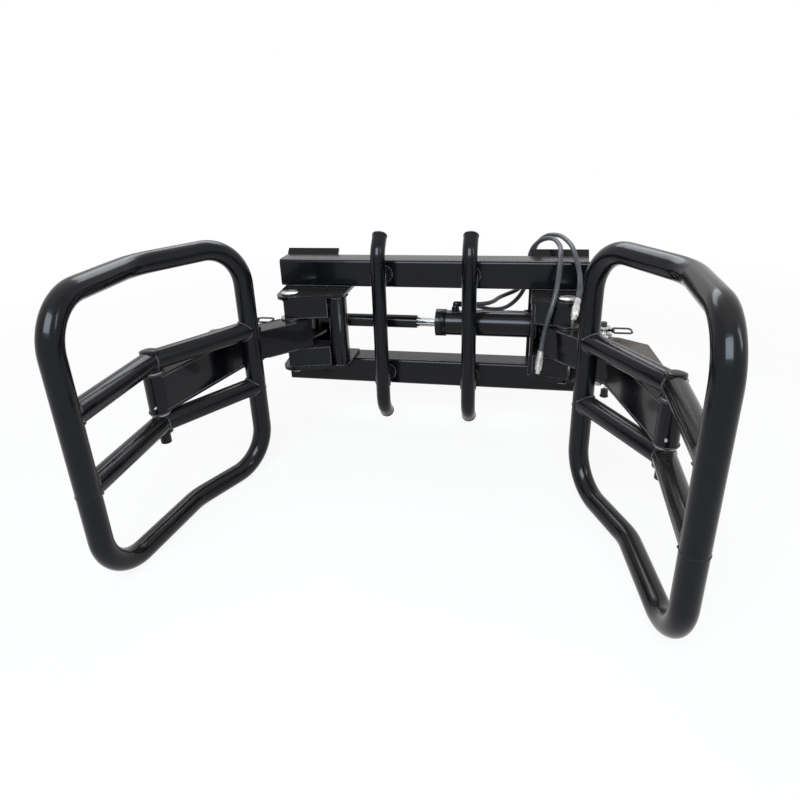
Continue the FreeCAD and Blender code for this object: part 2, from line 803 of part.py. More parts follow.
mirror_plane = Vec(1, 0, 0)
save(make_pivot_plates(web_side_in), "pivot_plates_right")
save(make_post(web_side_in, web_t, web_corner), "pivot_post_right")
save(make_blocks(web_side_in + web_t), "pivot_blocks_right")
save(make_pivot_plates(post_side_in).mirror(Vec(0, 0, 0), mirror_plane), "pivot_plates_left")
save(make_post(post_side_in, post_size, post_corner).mirror(Vec(0, 0, 0), mirror_plane),
     "pivot_post_left")
save(make_blocks(post_side_in + post_size).mirror(Vec(0, 0, 0), mirror_plane),
     "pivot_blocks_left")
save_pair(make_pivot_pin(), "pivot_pin")
save_pair(make_pivot_washers(), "pivot_washers")

save_pair(make_beam(), "arm_beam")
save_pair(make_boss(), "pivot_boss")
save_pair(make_bushes(), "pivot_bushes")
save_pair(make_lever_pin(), "lever_pin")
save_pair(make_carrier_plates(), "carrier_plates")
save_pair(make_carrier_walls(), "carrier_walls")
save_pair(make_knee_tube(), "knee_tube")
save_pair(make_lock_pin(), "lock_pin")
save(make_lynch_pin(1), "lynch_pin_right")
save(make_lynch_pin(-1), "lynch_pin_left")

save_pair(make_hoop_bend(hoop_z, hoop_fold_at, hoop_fold), "hoop_upper_bend")
save_pair(make_hoop_bend(-hoop_z, hoop_low_fold_at, hoop_low_fold), "hoop_lower_bend")
save_pair(make_crossbars(crossbar_z), "hoop_upper_crossbars")
save_pair(make_crossbars(-crossbar_z), "hoop_lower_crossbars")
save_pair(make_knee_pin(), "knee_pin")
save_pair(make_knee_washers(), "knee_washers")

save(make_barrel(), "cylinder_barrel")
save(make_gland(), "cylinder_gland")
save(make_piston(), "cylinder_piston")
save(make_rod(), "cylinder_rod")
save(make_rod_bar(), "cylinder_rod_bar")
save(make_port_fittings(), "port_fittings")
save(Part.makeCompound([cord(feed_a, hose_r, "feed a"), cord(feed_b, hose_r, "feed b")]),
     "hose_feeds")
save(cord(over_a, hose_r, "over a"), "hose_a")
save(cord(over_b, hose_r, "over b"), "hose_b")
save(Part.makeCompound([make_coupler(over_a[-1], over_a[-2]),
                        make_coupler(over_b[-1], over_b[-2])]), "hose_couplers")
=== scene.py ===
"""Looks of a loader bale grab: gloss black tube hoops and box arms on a two-rail frame."""
import json
import math

import bmesh
import bpy
from mathutils import Matrix, Vector

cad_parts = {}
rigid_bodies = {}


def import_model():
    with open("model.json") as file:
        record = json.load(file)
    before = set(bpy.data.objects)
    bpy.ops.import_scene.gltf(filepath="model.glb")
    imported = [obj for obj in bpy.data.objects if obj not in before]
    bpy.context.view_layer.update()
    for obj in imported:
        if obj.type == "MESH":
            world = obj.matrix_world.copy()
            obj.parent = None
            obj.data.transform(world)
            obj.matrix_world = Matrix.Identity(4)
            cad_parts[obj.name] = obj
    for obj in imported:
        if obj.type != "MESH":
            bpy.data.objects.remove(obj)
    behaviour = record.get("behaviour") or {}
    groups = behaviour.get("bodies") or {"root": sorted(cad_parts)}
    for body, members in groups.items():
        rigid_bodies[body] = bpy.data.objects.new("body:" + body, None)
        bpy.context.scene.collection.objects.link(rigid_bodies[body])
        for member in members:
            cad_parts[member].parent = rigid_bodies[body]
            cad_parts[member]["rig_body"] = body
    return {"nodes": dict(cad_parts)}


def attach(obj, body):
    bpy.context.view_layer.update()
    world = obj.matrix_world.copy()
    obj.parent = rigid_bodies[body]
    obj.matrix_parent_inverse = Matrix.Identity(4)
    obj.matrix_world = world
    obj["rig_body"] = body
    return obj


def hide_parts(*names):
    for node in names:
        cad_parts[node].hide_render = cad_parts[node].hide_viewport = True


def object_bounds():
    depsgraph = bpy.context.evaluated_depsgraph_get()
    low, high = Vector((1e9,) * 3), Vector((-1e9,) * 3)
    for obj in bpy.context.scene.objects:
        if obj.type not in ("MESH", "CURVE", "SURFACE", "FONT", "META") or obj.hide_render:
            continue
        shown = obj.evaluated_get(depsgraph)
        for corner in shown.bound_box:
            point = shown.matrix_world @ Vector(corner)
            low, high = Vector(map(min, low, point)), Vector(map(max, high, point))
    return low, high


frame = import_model()
cad_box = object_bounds()
nodes = frame["nodes"]
MM = 0.001
SIDES = {"left": -1, "right": 1}


# Camera
# Seen from in front of the open hoops, a little to the right and from above,
# as close as a person stands, so the near hoops look larger than the frame.
eye = Vector((0.3193, -2.2232, 0.7278))
yaw, pitch, roll = (math.radians(v) for v in (12.23, 22.49, 2.22))
forward = Vector((-math.sin(yaw) * math.cos(pitch), math.cos(yaw) * math.cos(pitch), -math.sin(pitch)))
level = Vector((math.cos(yaw), math.sin(yaw), 0))
down = forward.cross(level)
right = level * math.cos(roll) + down * math.sin(roll)
up = level * math.sin(roll) - down * math.cos(roll)
camera_data = bpy.data.cameras.new("camera")
camera_data.sensor_width = 36
camera_data.lens = 27.62
camera_data.shift_x = 0.0096
camera_data.shift_y = -0.0424
camera = bpy.data.objects.new("camera", camera_data)
bpy.context.scene.collection.objects.link(camera)
camera.matrix_world = Matrix.Translation(eye) @ Matrix((right, up, -forward)).transposed().to_4x4()
bpy.context.scene.camera = camera


# Hydraulic hoses
# Two rubber hoses leave the cylinder's ports, run behind the right-hand rails, arch
# over the top rail and hang in front of the housing, where their couplers are parked.
class Value:
    """A shader socket; arithmetic on it adds Math nodes."""

    def __init__(self, finish, socket):
        self.finish = finish
        self.socket = socket

    def calc(self, operation, first, second):
        return self.finish.add("ShaderNodeMath", {"operation": operation}, {0: first, 1: second})

    def __add__(self, other):
        return self.calc("ADD", self, other)

    def __radd__(self, other):
        return self.calc("ADD", other, self)

    def __sub__(self, other):
        return self.calc("SUBTRACT", self, other)

    def __rsub__(self, other):
        return self.calc("SUBTRACT", other, self)

    def __mul__(self, other):
        return self.calc("MULTIPLY", self, other)

    def __rmul__(self, other):
        return self.calc("MULTIPLY", other, self)


class Finish:
    """A material and the nodes that go into it."""

    def __init__(self, name, **constants):
        self.material = bpy.data.materials.new(name)
        self.material.use_nodes = True
        self.tree = self.material.node_tree
        self.shader = self.tree.nodes["Principled BSDF"]
        for socket, value in constants.items():
            self.shader.inputs[socket.replace("_", " ")].default_value = value

    def feed(self, socket, value):
        if isinstance(value, Value):
            self.tree.links.new(value.socket, socket)
        else:
            socket.default_value = value

    def add(self, kind, settings=None, sockets=None, output=0):
        node = self.tree.nodes.new(kind)
        for name, value in (settings or {}).items():
            setattr(node, name, value)
        for name, value in (sockets or {}).items():
            self.feed(node.inputs[name], value)
        return Value(self, node.outputs[output])

    def shade(self, socket, value):
        self.feed(self.shader.inputs[socket], value)

    def place(self):
        return self.add("ShaderNodeTexCoord", output=3)

    def noise(self, scale, detail, roughness=0.5):
        return self.add("ShaderNodeTexNoise", {}, {
            "Vector": self.place(), "Scale": scale, "Detail": detail, "Roughness": roughness})

    def spread(self, value, low, high, to_low=0.0, to_high=1.0):
        """Stretch a value from one range to another, clamped."""
        return self.add("ShaderNodeMapRange", {"clamp": True}, {
            "Value": value, "From Min": low, "From Max": high, "To Min": to_low, "To Max": to_high})

    def mix(self, share, first, second):
        """First colour where the share is 0, second where it is 1."""
        return self.add("ShaderNodeMix", {"data_type": "RGBA"}, {0: share, 6: first, 7: second}, output=2)

    def bump(self, height, distance, strength, normal=None):
        sockets = {"Height": height, "Distance": distance, "Strength": strength}
        if normal is not None:
            sockets["Normal"] = normal
        return self.add("ShaderNodeBump", {}, sockets)


def hose_rubber():
    finish = Finish("hose_rubber", IOR=1.5)
    black, dusty = (0.030, 0.031, 0.035, 1), (0.060, 0.061, 0.066, 1)
    blotch = finish.noise(30, 3)
    wrap = finish.noise(900, 1)
    finish.shade("Base Color", finish.mix(finish.spread(blotch, 0.35, 0.75), black, dusty))
    finish.shade("Roughness", finish.spread(blotch, 0.3, 0.7, 0.32, 0.46))
    finish.shade("Normal", finish.bump(wrap, 0.1 * MM, 0.6))
    return finish.material


RUBBER = hose_rubber()
HOSE_R = 8 * MM
FEED_A = [(135, -68, 72), (169.3, -68, 72), (210, -50, 71), (234, -16, 70), (247, 24, 72),
          (280.3, 53.4, 79.7), (318, 60, 94), (344, 60, 128), (354, 58, 166), (354, 58, 204)]
FEED_B = [(150, -3.9, 36.1), (150, 27, 36.1), (176, 66, 22), (218.3, 81.8, 7.6), (272, 76.6, 14.5),
          (316, 78, 50), (344, 78, 98), (366, 82, 150), (366, 82, 204)]
OVER_A = [FEED_A[-1], (354, 58, 242), (390, 50, 285), (432, 10, 299), (450, -52, 289),
          (453, -118, 284), (450, -180, 242), (442, -236, 192), (430, -270, 138), (416, -278, 86),
          (406, -280, 34), (401, -288, -14)]
OVER_B = [FEED_B[-1], (366, 82, 249), (405, 73, 296), (452, 30, 306), (476, -34, 299),
          (492, -104, 290), (506, -168, 246), (515, -226, 202), (504, -276, 160)]


def hose(name, route, body, replaced, pieces):
    curve = bpy.data.curves.new(name, "CURVE")
    curve.dimensions = "3D"
    spline = curve.splines.new("NURBS")
    spline.points.add(len(route) - 1)
    for point, place in zip(spline.points, route):
        point.co = (*(Vector(place) * MM), 1)
    spline.order_u = 3
    spline.use_endpoint_u = True
    spline.resolution_u = 12
    line = bpy.data.objects.new(name, curve)
    bpy.context.scene.collection.objects.link(line)
    bpy.context.view_layer.update()
    centre = bpy.data.meshes.new_from_object(line.evaluated_get(bpy.context.evaluated_depsgraph_get()))
    bpy.data.meshes.remove(centre)
    curve.bevel_depth = HOSE_R
    curve.bevel_resolution = 6
    curve.use_fill_caps = True
    curve.materials.append(RUBBER)
    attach(line, body)
    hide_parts(replaced)


def zinc_plate():
    finish = Finish("zinc_plate", IOR=1.5)
    dull, bright = (0.42, 0.42, 0.40, 1), (0.66, 0.66, 0.63, 1)
    cloud = finish.noise(45, 4, 0.6)
    finish.shade("Base Color", finish.mix(finish.spread(cloud, 0.3, 0.7), dull, bright))
    finish.shade("Metallic", finish.spread(cloud, 0.2, 0.6, 0.85, 1.0))
    finish.shade("Roughness", finish.spread(cloud, 0.3, 0.7, 0.26, 0.42))
    finish.shade("Normal", finish.bump(finish.noise(600, 2), 0.05 * MM, 0.5))
    return finish.material


def turns(steps):
    """Angles all the way round in even steps, with the first one again at the end."""
    return [2 * math.pi * i / steps for i in range(steps + 1)]


def lathe(name, start, aim, profile, body, material, steps=36, replaced=None):
    """Turned piece: a profile of (distance, radius) about an axis."""
    aim = Vector(aim).normalized()
    wide = aim.orthogonal().normalized()
    high = aim.cross(wide)
    shape = bmesh.new()
    rings = []
    for far, radius in profile:
        ring = []
        for turn in turns(steps)[:-1]:
            place = Vector(start) + aim * far + (wide * math.cos(turn) + high * math.sin(turn)) * radius
            ring.append(shape.verts.new(place * MM))
        rings.append(ring)
    for first, second in zip(rings, rings[1:]):
        for i in range(steps):
            shape.faces.new((first[i - 1], first[i], second[i], second[i - 1]))
    shape.faces.new(rings[0])
    shape.faces.new(rings[-1])
    bmesh.ops.recalc_face_normals(shape, faces=shape.faces)
    mesh = bpy.data.meshes.new(name)
    shape.to_mesh(mesh)
    shape.free()
    mesh.shade_smooth()
    mesh.set_sharp_from_angle(angle=TURNED_EDGE)
    mesh.materials.append(material)
    piece = bpy.data.objects.new(name, mesh)
    bpy.context.scene.collection.objects.link(piece)
    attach(piece, body)
    if replaced:
        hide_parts(replaced)
    return piece


ZINC = zinc_plate()
TURNED_EDGE = math.radians(32)
FERRULE = [(0, 9), (1, 10.4), (5, 10.4), (6, 9.7), (8, 9.7), (9, 10.4), (13, 10.4), (14, 9.7), (16, 9.7),
           (17, 10.4), (21, 10.4), (22, 9.7), (24, 9.7), (25, 10.4), (29, 10.4), (30, 9)]
COUPLER = FERRULE + [(30, 11.9), (44, 11.9), (45, 11), (47, 11), (48, 11.9), (62, 11.9), (64, 10.8),
                     (64, 8.4), (69, 8.4), (70, 7.4), (72, 7.4), (73, 8.4), (77, 8.4), (78, 6.5)]
SWAGE = FERRULE[:10] + [(20, 10.4), (21, 9)]


def swage(name, route):
    """Crimped end at a cylinder port."""
    return lathe(name, route[0], Vector(route[1]) - Vector(route[0]), SWAGE, "barrel", ZINC)


def coupler(name, route):
    """Crimped end and push-in coupler, parked in front of the housing."""
    return lathe(name, route[-1], Vector(route[-1]) - Vector(route[-2]), COUPLER, "frame", ZINC,
                 replaced="hose_couplers")


hose("feed_a", FEED_A, "barrel", "hose_feeds", [swage("swage_a", FEED_A)])
hose("feed_b", FEED_B, "barrel", "hose_feeds", [swage("swage_b", FEED_B)])
hose("over_a", OVER_A, "frame", "hose_a", [coupler("coupler_a", OVER_A)])
hose("over_b", OVER_B, "frame", "hose_b", [coupler("coupler_b", OVER_B)])


# Rails and their end caps
# Two square hollow steel sections, blasted and painted gloss black, carry everything.
# Their ends are closed by pressed-in caps.
def black_paint(name="black_paint", dusty=0.12, edge_r=0.0):
    finish = Finish(name, Specular_IOR_Level=0.14, Coat_Weight=0.15, Coat_Roughness=0.04)
    deep, thin, clay = (0.0018, 0.0020, 0.0031, 1), (0.0034, 0.0037, 0.0052, 1), (0.150, 0.122, 0.098, 1)
    patch = finish.noise(7, 4, 0.6)
    fine = finish.noise(90, 3, 0.6)
    normal = finish.add("ShaderNodeNewGeometry", output=1)
    facing_up = finish.add("ShaderNodeSeparateXYZ", {}, {0: normal}, output=2)
    dust = finish.spread(facing_up, 0.6, 0.98) * finish.spread(patch, 0.35, 0.7, 0.55, 1.0) * dusty
    paint = finish.mix(finish.spread(patch, 0.3, 0.75), deep, thin)
    finish.shade("Base Color", finish.mix(dust, paint, clay))
    finish.shade("Roughness", finish.spread(fine, 0.3, 0.7, 0.17, 0.24) + dust * 0.55)
    soft_edge = finish.add("ShaderNodeBevel", {"samples": 8}, {"Radius": edge_r}) if edge_r else None
    finish.shade("Normal", finish.bump(finish.noise(24, 1), 0.4 * MM, 0.3, soft_edge))
    return finish.material


PAINT = black_paint()
EDGE_R = 1.4 * MM
PLATE = black_paint("black_plate", edge_r=EDGE_R)
DUSTY = black_paint("black_dusty", 0.85, EDGE_R)
ROUND_EDGE = math.radians(28)
WELDED = 0.002 * MM


def dress(node, material):
    """The CAD piece itself, with its vertices merged and its round faces shaded smooth."""
    source = nodes[node]
    mesh = source.data.copy()
    work = bmesh.new()
    work.from_mesh(mesh)
    bmesh.ops.remove_doubles(work, verts=work.verts, dist=WELDED)
    work.to_mesh(mesh)
    work.free()
    mesh.shade_smooth()
    mesh.set_sharp_from_angle(angle=ROUND_EDGE)
    mesh.materials.clear()
    mesh.materials.append(material)
    piece = bpy.data.objects.new(node + "_shown", mesh)
    bpy.context.scene.collection.objects.link(piece)
    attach(piece, source["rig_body"])
    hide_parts(node)


def moulded_cap():
    finish = Finish("moulded_cap", IOR=1.48)
    black, worn = (0.010, 0.010, 0.011, 1), (0.020, 0.020, 0.021, 1)
    grain = finish.noise(1500, 1)
    finish.shade("Base Color", finish.mix(finish.noise(12, 3), black, worn))
    finish.shade("Roughness", finish.spread(grain, 0.3, 0.7, 0.42, 0.55))
    finish.shade("Normal", finish.bump(grain, 0.06 * MM, 0.5))
    return finish.material


for name in ("top_rail", "bottom_rail"):
    dress(name, PLATE)
MOULDED = moulded_cap()
dress("rail_end_caps", MOULDED)


# Hitch half plates
# Flame-cut and folded steel plates on the backs of the rails; each leans a lip back
# at the top for the loader's carriage. A row of welds runs where plate meets rail.
class Pattern:
    """A Geometry Nodes tree that sets copies of a shape along paths. Its sizes are named inputs."""

    def __init__(self, name, **sizes):
        self.tree = bpy.data.node_groups.new(name, "GeometryNodeTree")
        sockets = self.tree.interface
        sockets.new_socket("Path", in_out="INPUT", socket_type="NodeSocketGeometry")
        for size, value in sizes.items():
            socket = sockets.new_socket(size, in_out="INPUT", socket_type="NodeSocketFloat")
            socket.default_value = value
        sockets.new_socket("Finish", in_out="INPUT", socket_type="NodeSocketMaterial")
        sockets.new_socket("Copies", in_out="OUTPUT", socket_type="NodeSocketGeometry")
        self.given = self.tree.nodes.new("NodeGroupInput").outputs

    def add(self, kind, settings=None, sockets=None, output=0):
        node = self.tree.nodes.new(kind)
        for name, value in (settings or {}).items():
            setattr(node, name, value)
        for name, value in (sockets or {}).items():
            if isinstance(value, bpy.types.NodeSocket):
                self.tree.links.new(value, node.inputs[name])
            else:
                node.inputs[name].default_value = value
        return node.outputs[output]

    def calc(self, operation, first, second):
        return self.add("ShaderNodeMath", {"operation": operation}, {0: first, 1: second})

    def close(self, points, shape, turn, scale):
        """End of the tree: the copies are made real, shaded smooth and given their finish."""
        laid = self.add("GeometryNodeInstanceOnPoints", {}, {
            "Points": points, "Instance": shape, "Rotation": turn, "Scale": scale})
        solid = self.add("GeometryNodeRealizeInstances", {}, {"Geometry": laid})
        smooth = self.add("GeometryNodeSetShadeSmooth", {}, {"Geometry": solid})
        finished = self.add("GeometryNodeSetMaterial", {}, {
            "Geometry": smooth, "Material": self.given["Finish"]})
        self.tree.links.new(finished, self.tree.nodes.new("NodeGroupOutput").inputs[0])

    def lay(self, name, paths, body, slot, material, **sizes):
        """One plain mesh of copies along several paths, given as lists of points in millimetres."""
        mesh = bpy.data.meshes.new(name)
        points = []
        edges = []
        for path in paths:
            first = len(points)
            points += [Vector(p) * MM for p in path]
            edges += [(first + i, first + i + 1) for i in range(len(path) - 1)]
        mesh.from_pydata(points, edges, [])
        work = bpy.data.objects.new(name + "_path", mesh)
        bpy.context.scene.collection.objects.link(work)
        modifier = work.modifiers.new("pattern", "NODES")
        modifier.node_group = self.tree
        inputs = {s.name: s.identifier for s in self.tree.interface.items_tree if s.in_out == "INPUT"}
        modifier[inputs["Finish"]] = material
        for size, value in sizes.items():
            modifier[inputs[size]] = value
        bpy.context.view_layer.update()
        shaped = work.evaluated_get(bpy.context.evaluated_depsgraph_get())
        piece = bpy.data.objects.new(name, bpy.data.meshes.new_from_object(shaped))
        bpy.context.scene.collection.objects.link(piece)
        bpy.data.objects.remove(work)
        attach(piece, body)


def weld_bead():
    """Flattened drops laid one over the next, no two quite the same size."""
    bead = Pattern("weld_bead", Width=5 * MM, Pitch=2.6 * MM)
    line = bead.add("GeometryNodeMeshToCurve", {}, {"Mesh": bead.given["Path"]})
    points = bead.add("GeometryNodeResampleCurve", {"mode": "LENGTH"}, {
        "Curve": line, "Length": bead.given["Pitch"]})
    along = bead.add("GeometryNodeInputTangent")
    turn = bead.add("FunctionNodeAlignRotationToVector", {"axis": "Z"}, {"Vector": along})
    drop = bead.add("GeometryNodeMeshIcoSphere", {}, {"Subdivisions": 2, "Radius": 0.5})
    wobble = bead.add("FunctionNodeRandomValue", {"data_type": "FLOAT"}, {
        2: 0.88, 3: 1.12, "Seed": 7}, output=1)
    size = bead.calc("MULTIPLY", bead.given["Width"], wobble)
    scale = bead.add("ShaderNodeCombineXYZ", {}, {
        "X": size, "Y": size, "Z": bead.calc("MULTIPLY", size, 0.72)})
    bead.close(points, drop, turn, scale)
    return bead


def weld_paint():
    finish = Finish("weld_paint", Specular_IOR_Level=0.42, Coat_Weight=0.45, Coat_Roughness=0.06)
    black, thin = (0.004, 0.004, 0.006, 1), (0.014, 0.014, 0.016, 1)
    spatter = finish.noise(700, 2)
    finish.shade("Base Color", finish.mix(finish.noise(60, 2), black, thin))
    finish.shade("Roughness", finish.spread(spatter, 0.3, 0.7, 0.16, 0.30))
    finish.shade("Normal", finish.bump(spatter, 0.2 * MM, 0.6))
    return finish.material


BEAD = weld_bead()
WELD = weld_paint()
PITCH_TO_WIDTH = 0.48


def weld(name, seams, body, width, material=WELD):
    BEAD.lay(name, seams, body, "body", material, Width=width * MM, Pitch=PITCH_TO_WIDTH * width * MM)


def mirrored(path, side):
    return [(side * x, y, z) for x, y, z in path]


def flipped(path):
    return [(x, y, -z) for x, y, z in path]


def circle(centre, radius, first, second):
    """Closed ring in the plane of two directions."""
    return [tuple(Vector(centre) + Vector(first) * radius * math.cos(turn)
                  + Vector(second) * radius * math.sin(turn)) for turn in turns(RING_STEPS)]


FRONT_Y = -110
RAIL_IN = 140
RAIL_OUT = 240
RING_STEPS = 48
HITCH_EDGES = (357, 557)
HITCH_SEAM_Y = -11.5
HITCH_SEAM_Z = (RAIL_IN + 14, RAIL_OUT - 26)
hitch_seams = []
for side, sign in SIDES.items():
    dress("hitch_plate_" + side, PLATE)
    for x, out in zip(HITCH_EDGES, (-1, 1)):
        for half in (1, -1):
            seam = [(x + out, HITCH_SEAM_Y, half * z) for z in HITCH_SEAM_Z]
            hitch_seams.append(mirrored(seam, sign))
weld("hitch_welds", hitch_seams, "frame", 7)


# Fender tubes
# Two upright tubes that the bale rests against, on short round stand-offs, with their
# ends bent back towards the rails and closed by round caps.
for name in ("fender_tube_left", "fender_tube_right", "fender_standoffs", "fender_caps"):
    dress(name, PAINT)

FENDER = Vector((157, -200, 190))
FENDER_R = 25.5
STANDOFF_R = 30


def standoff_saddle(x, z):
    """Where a stand-off meets its fender tube."""
    path = []
    for turn in turns(RING_STEPS):
        across = max(-FENDER_R, min(FENDER_R, STANDOFF_R * math.cos(turn)))
        back = math.sqrt(max(0, FENDER_R ** 2 - across ** 2))
        path.append((x + across, FENDER.y + back + 1, z + STANDOFF_R * math.sin(turn)))
    return path


fender_seams = []
for sign in SIDES.values():
    for z in (-FENDER.z, FENDER.z):
        fender_seams.append(standoff_saddle(sign * FENDER.x, z))
        fender_seams.append(circle((sign * FENDER.x, FRONT_Y - 1.5, z), STANDOFF_R + 1,
                                   (1, 0, 0), (0, 0, 1)))
weld("fender_welds", fender_seams, "frame", 7)


# Pivot housings
# Fabricated from plate: a top and a bottom plate between the rails, two boxes that hold
# the pin, and a round-cornered post on the left or a plain web on the right. The pin is
# drawn steel, plated, and passes right through.
for side in SIDES:
    for name in ("pivot_plates_", "pivot_post_", "pivot_blocks_"):
        dress(name + side, PLATE)

PIVOT = Vector((480, -215, 0))
PLATE_R = 46
PLATE_OUT = 535
PLATE_Z = 128
BLOCK_R = 37
BLOCK_OUT = 492
BLOCK_DEPTH = 60
BLOCK_Z = 55
POST_BACK = 7
POST_DEPTH = 58
FRONT_SLOPE = math.radians(15)
HOUSINGS = {"left": {"inner": 283, "width": 62, "corner": 20},
            "right": {"inner": 365, "width": 12, "corner": 2}}


def front_y(x, radius):
    """Front edge of a housing, which slopes and is tangent to a circle about the pin."""
    touch_x = PIVOT.x - radius * math.sin(FRONT_SLOPE)
    touch_y = PIVOT.y - radius * math.cos(FRONT_SLOPE)
    return touch_y + (touch_x - x) * math.tan(FRONT_SLOPE)


def housing_seams(inner, width, corner):
    """Seams of the upper half of a housing, and the same ones upside down."""
    outer = inner + width
    post_y = front_y(outer, PLATE_R) + POST_BACK
    block_x = outer + 2
    block_y = front_y(block_x, BLOCK_R)
    end_y = front_y(BLOCK_OUT, BLOCK_R)
    corner_y = front_y(outer, BLOCK_R) - 0.5
    under_plate = PLATE_Z - 1.5
    on_block = BLOCK_Z + 2.8
    rail = [(x, FRONT_Y - 2.5, RAIL_IN + 3.5) for x in (inner + 4, PLATE_OUT - 4)]
    foot = [(inner - 1, post_y + POST_DEPTH, under_plate), (inner - 1, post_y + corner, under_plate),
            (inner + corner, post_y - 1, under_plate), (outer - corner, post_y - 1, under_plate)]
    edge = [(block_x, block_y - 1, under_plate), (BLOCK_OUT, end_y - 1, under_plate),
            (BLOCK_OUT + 1, end_y + BLOCK_DEPTH, under_plate)]
    lip = [(block_x, block_y + 0.6, on_block), (BLOCK_OUT - 0.6, end_y + 0.6, on_block),
           (BLOCK_OUT - 0.6, end_y + BLOCK_DEPTH, on_block)]
    upright = [(outer + 0.5, corner_y, z) for z in (PLATE_Z - 3, BLOCK_Z + 3)]
    seams = [rail, foot, edge, lip, upright]
    return seams + [flipped(seam) for seam in seams]


for side, sign in SIDES.items():
    seams = [mirrored(seam, sign) for seam in housing_seams(**HOUSINGS[side])]
    weld("housing_welds_" + side, seams, "frame", 6)


def machined_steel():
    finish = Finish("machined_steel", IOR=1.5, Metallic=1.0)
    dull, bright = (0.22, 0.22, 0.225, 1), (0.36, 0.36, 0.365, 1)
    turned = finish.noise(500, 2)
    finish.shade("Base Color", finish.mix(finish.noise(40, 3), dull, bright))
    finish.shade("Roughness", finish.spread(turned, 0.3, 0.7, 0.30, 0.45))
    return finish.material


STEEL = machined_steel()
for side in SIDES:
    dress("pivot_pin_" + side, ZINC)
    dress("pivot_washers_" + side, STEEL)


# Arms
# Welded box beams that turn on the pivot pins, with crank plates that reach back to
# the cylinder, and bushes pressed into the pivot boss.
def bearing_bronze():
    finish = Finish("bearing_bronze", IOR=1.5, Metallic=1.0)
    stained, clean = (0.36, 0.22, 0.09, 1), (0.62, 0.43, 0.20, 1)
    stain = finish.noise(90, 3)
    finish.shade("Base Color", finish.mix(stain, stained, clean))
    finish.shade("Roughness", finish.spread(stain, 0.3, 0.7, 0.30, 0.48))
    return finish.material


BRONZE = bearing_bronze()
for side in SIDES:
    dress("arm_beam_" + side, PLATE)
    dress("pivot_boss_" + side, PAINT)
    dress("pivot_bushes_" + side, BRONZE)
    dress("lever_pin_" + side, ZINC)

ARM_ANGLE = math.radians(43)
ALONG = Vector((math.sin(ARM_ANGLE), -math.cos(ARM_ANGLE), 0))
ACROSS = Vector((math.cos(ARM_ANGLE), math.sin(ARM_ANGLE), 0))
BEAM_SIDES = (-65, 15)
BEAM_TOP = 50
BEAM_SEAM_FROM = (20, 44)
BEAM_SEAM_TO = 134


def arm_point(t, side, z):
    return tuple(PIVOT + ALONG * t + ACROSS * side + Vector((0, 0, z)))


beam_seams = []
for edge, start, out in zip(BEAM_SIDES, BEAM_SEAM_FROM, (-1, 1)):
    for half in (-1, 1):
        beam_seams.append([arm_point(t, edge - 0.4 * out, half * (BEAM_TOP - 0.6))
                           for t in (start, BEAM_SEAM_TO)])
for side, sign in SIDES.items():
    weld("beam_welds_" + side, [mirrored(seam, sign) for seam in beam_seams], "arm_" + side, 6)


# Carriers
# The forearms: two cut plates and two bent walls welded to a box that slides over the
# beam, ending in the tube that the hoop hangs in.
for side in SIDES:
    dress("carrier_plates_" + side, DUSTY)
    dress("carrier_walls_" + side, PLATE)
    dress("knee_tube_" + side, PAINT)

KNEE = Vector((697, -777, 0))
KNEE_R = 30
KNEE_SEAM_Z = 60
SEAM_Z = 51.5
CARRIER_FROM = 198
WALL_OFF = 9.5
INNER_BEND = 236
OUTER_BENDS = [(706, -396, 0), (718, -562, 0)]


def touch_point(point, side):
    """Where a line from a point touches the knee tube."""
    reach = KNEE - Vector(point)
    reach.z = 0
    swing = math.asin(KNEE_R / reach.length) * side
    aim = math.atan2(reach.y, reach.x) + swing
    far = math.sqrt(reach.length ** 2 - KNEE_R ** 2)
    return (point[0] + far * math.cos(aim), point[1] + far * math.sin(aim), 0)


def raised(path, z):
    return [(x, y, z) for x, y, _ in path]


inner_bend = arm_point(INNER_BEND, BEAM_SIDES[0] - WALL_OFF, 0)
inside = [arm_point(CARRIER_FROM, BEAM_SIDES[0] - WALL_OFF, 0), inner_bend, touch_point(inner_bend, -1)]
outside = [arm_point(CARRIER_FROM, BEAM_SIDES[1] + WALL_OFF, 0), *OUTER_BENDS,
           touch_point(OUTER_BENDS[-1], 1)]
carrier_seams = []
for half in (-1, 1):
    carrier_seams += [raised(inside, half * SEAM_Z), raised(outside, half * SEAM_Z),
                      circle((KNEE.x, KNEE.y, half * KNEE_SEAM_Z), KNEE_R + 0.8, (1, 0, 0), (0, 1, 0))]
for side, sign in SIDES.items():
    weld("carrier_welds_" + side, [mirrored(seam, sign) for seam in carrier_seams], "arm_" + side, 5)

NIPPLE = [(0, 4), (2, 4), (2, 2.4), (5, 2.4), (6.5, 3.3), (8.5, 3.3), (10.5, 1.4)]
NIPPLE_AT = KNEE + Vector((-8, -28.6, -36))
NIPPLE_AIM = (-0.27, -1, 0)
for side, sign in SIDES.items():
    place, aim = mirrored([NIPPLE_AT, NIPPLE_AIM], sign)
    lathe("grease_nipple_" + side, place, aim, NIPPLE, "arm_" + side, ZINC, steps=16)


